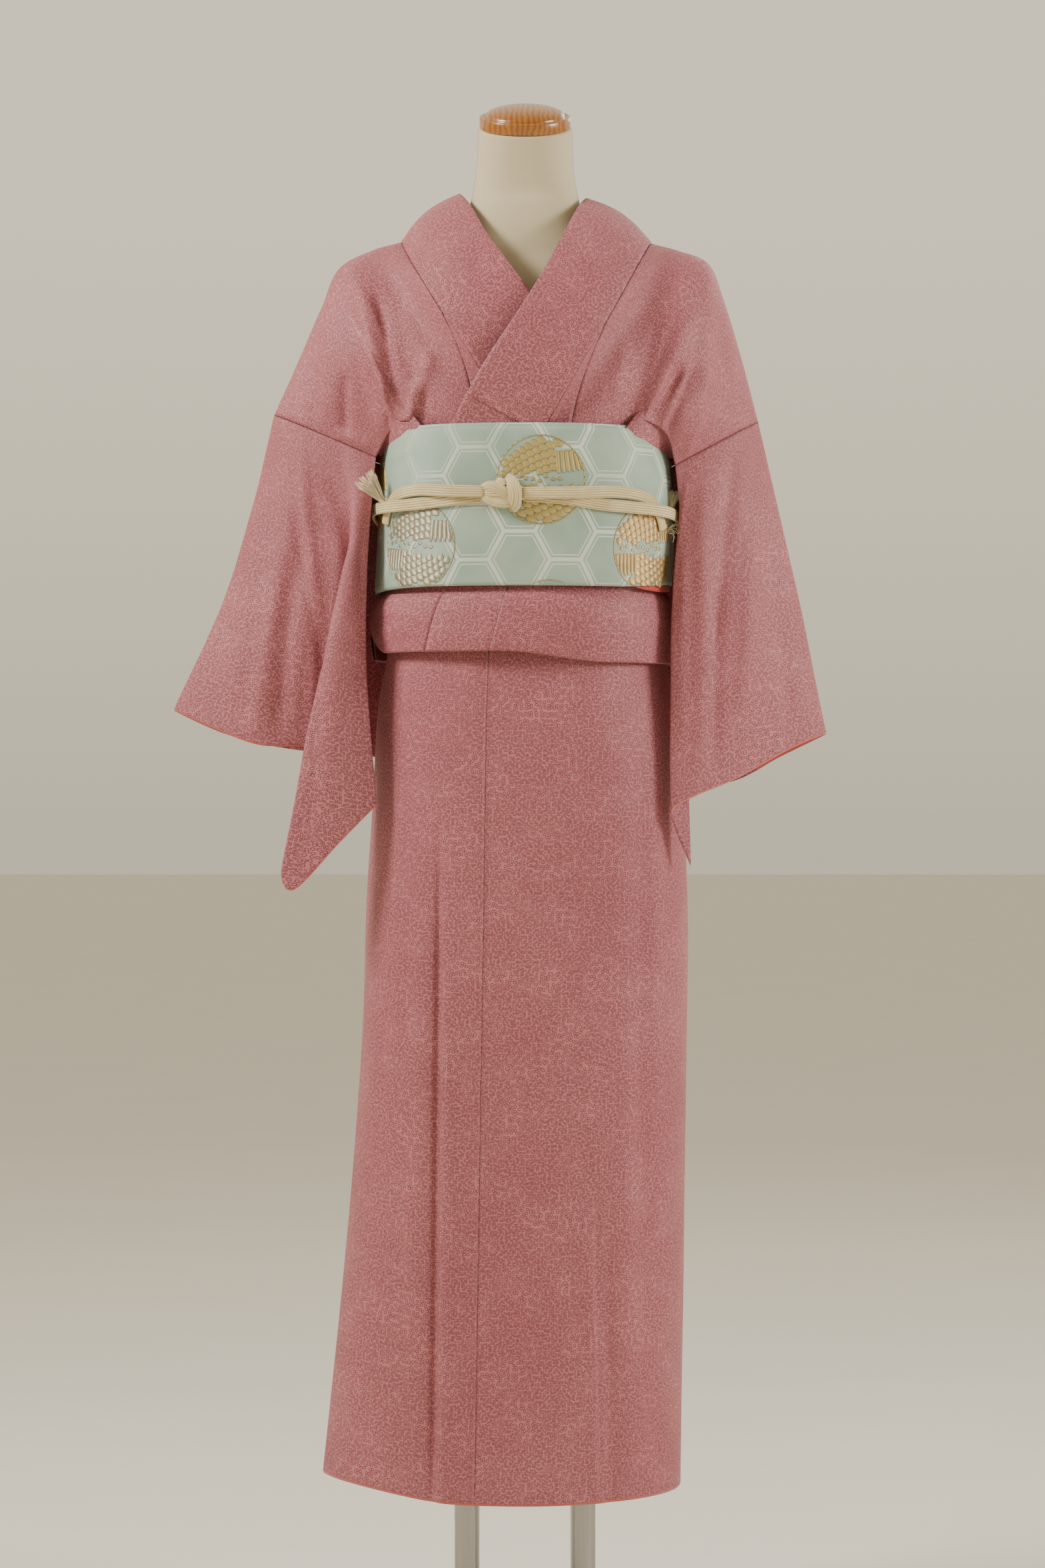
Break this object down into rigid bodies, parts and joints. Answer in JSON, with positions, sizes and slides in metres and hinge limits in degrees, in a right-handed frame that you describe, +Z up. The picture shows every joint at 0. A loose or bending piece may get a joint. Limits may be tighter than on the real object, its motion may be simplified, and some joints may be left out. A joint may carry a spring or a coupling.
{
  "type": "kimono on dress form",
  "caption": "Lined rose silk kimono with a patterned sash, a drum bow and a knotted cord, dressed on a limbless form that stands on two poles and a base plate.",
  "frame": {"origin": "middle of the base plate's underside, on the floor", "axes": "+Z up along the poles, -Y is the front of the kimono, +X is the wearer's left"},
  "size_m": [0.6525, 0.3402, 1.5465],
  "materials": {
    "silk": "matte crepe silk with a small print in two rose shades",
    "sash": "satin brocade, pale green with white lattice lines and metallic roundels",
    "cord": "matte braided silk, cream",
    "jersey": "matte cream cloth stretched over the form",
    "wood": "varnished",
    "steel": "satin"
  },
  "bodies": {
    "root": {"form_torso": "jersey", "neck_cap": "wood", "base_plate": "steel", "pole_left": "steel", "pole_right": "steel", "pole_flange_left": "steel", "pole_flange_right": "steel", "skirt_overlap_left": "silk", "skirt_front_left": "silk", "skirt_back_left": "silk", "skirt_back_right": "silk", "skirt_front_right": "silk", "skirt_overlap_right": "silk", "tuck_collar_end": "silk", "tuck_overlap_left": "silk", "tuck_front_left": "silk", "tuck_back_left": "silk", "tuck_back_right": "silk", "collar": "silk", "over_collar": "silk", "sleeve_right": "silk", "sleeve_left": "silk", "bodice_right": "silk", "overlap_tip_right": "silk", "bodice_left": "silk", "overlap_tip_left": "silk", "obi_wrap_second": "sash", "obi_wrap_first": "sash", "obi_drum": "sash", "obi_tail": "sash", "obi_hand": "sash", "cord_main": "cord", "cord_end_left": "cord", "cord_end_right": "cord", "cord_knot": "cord", "tassel_left": "cord", "tassel_right": "cord"}
  },
  "joints": []
}
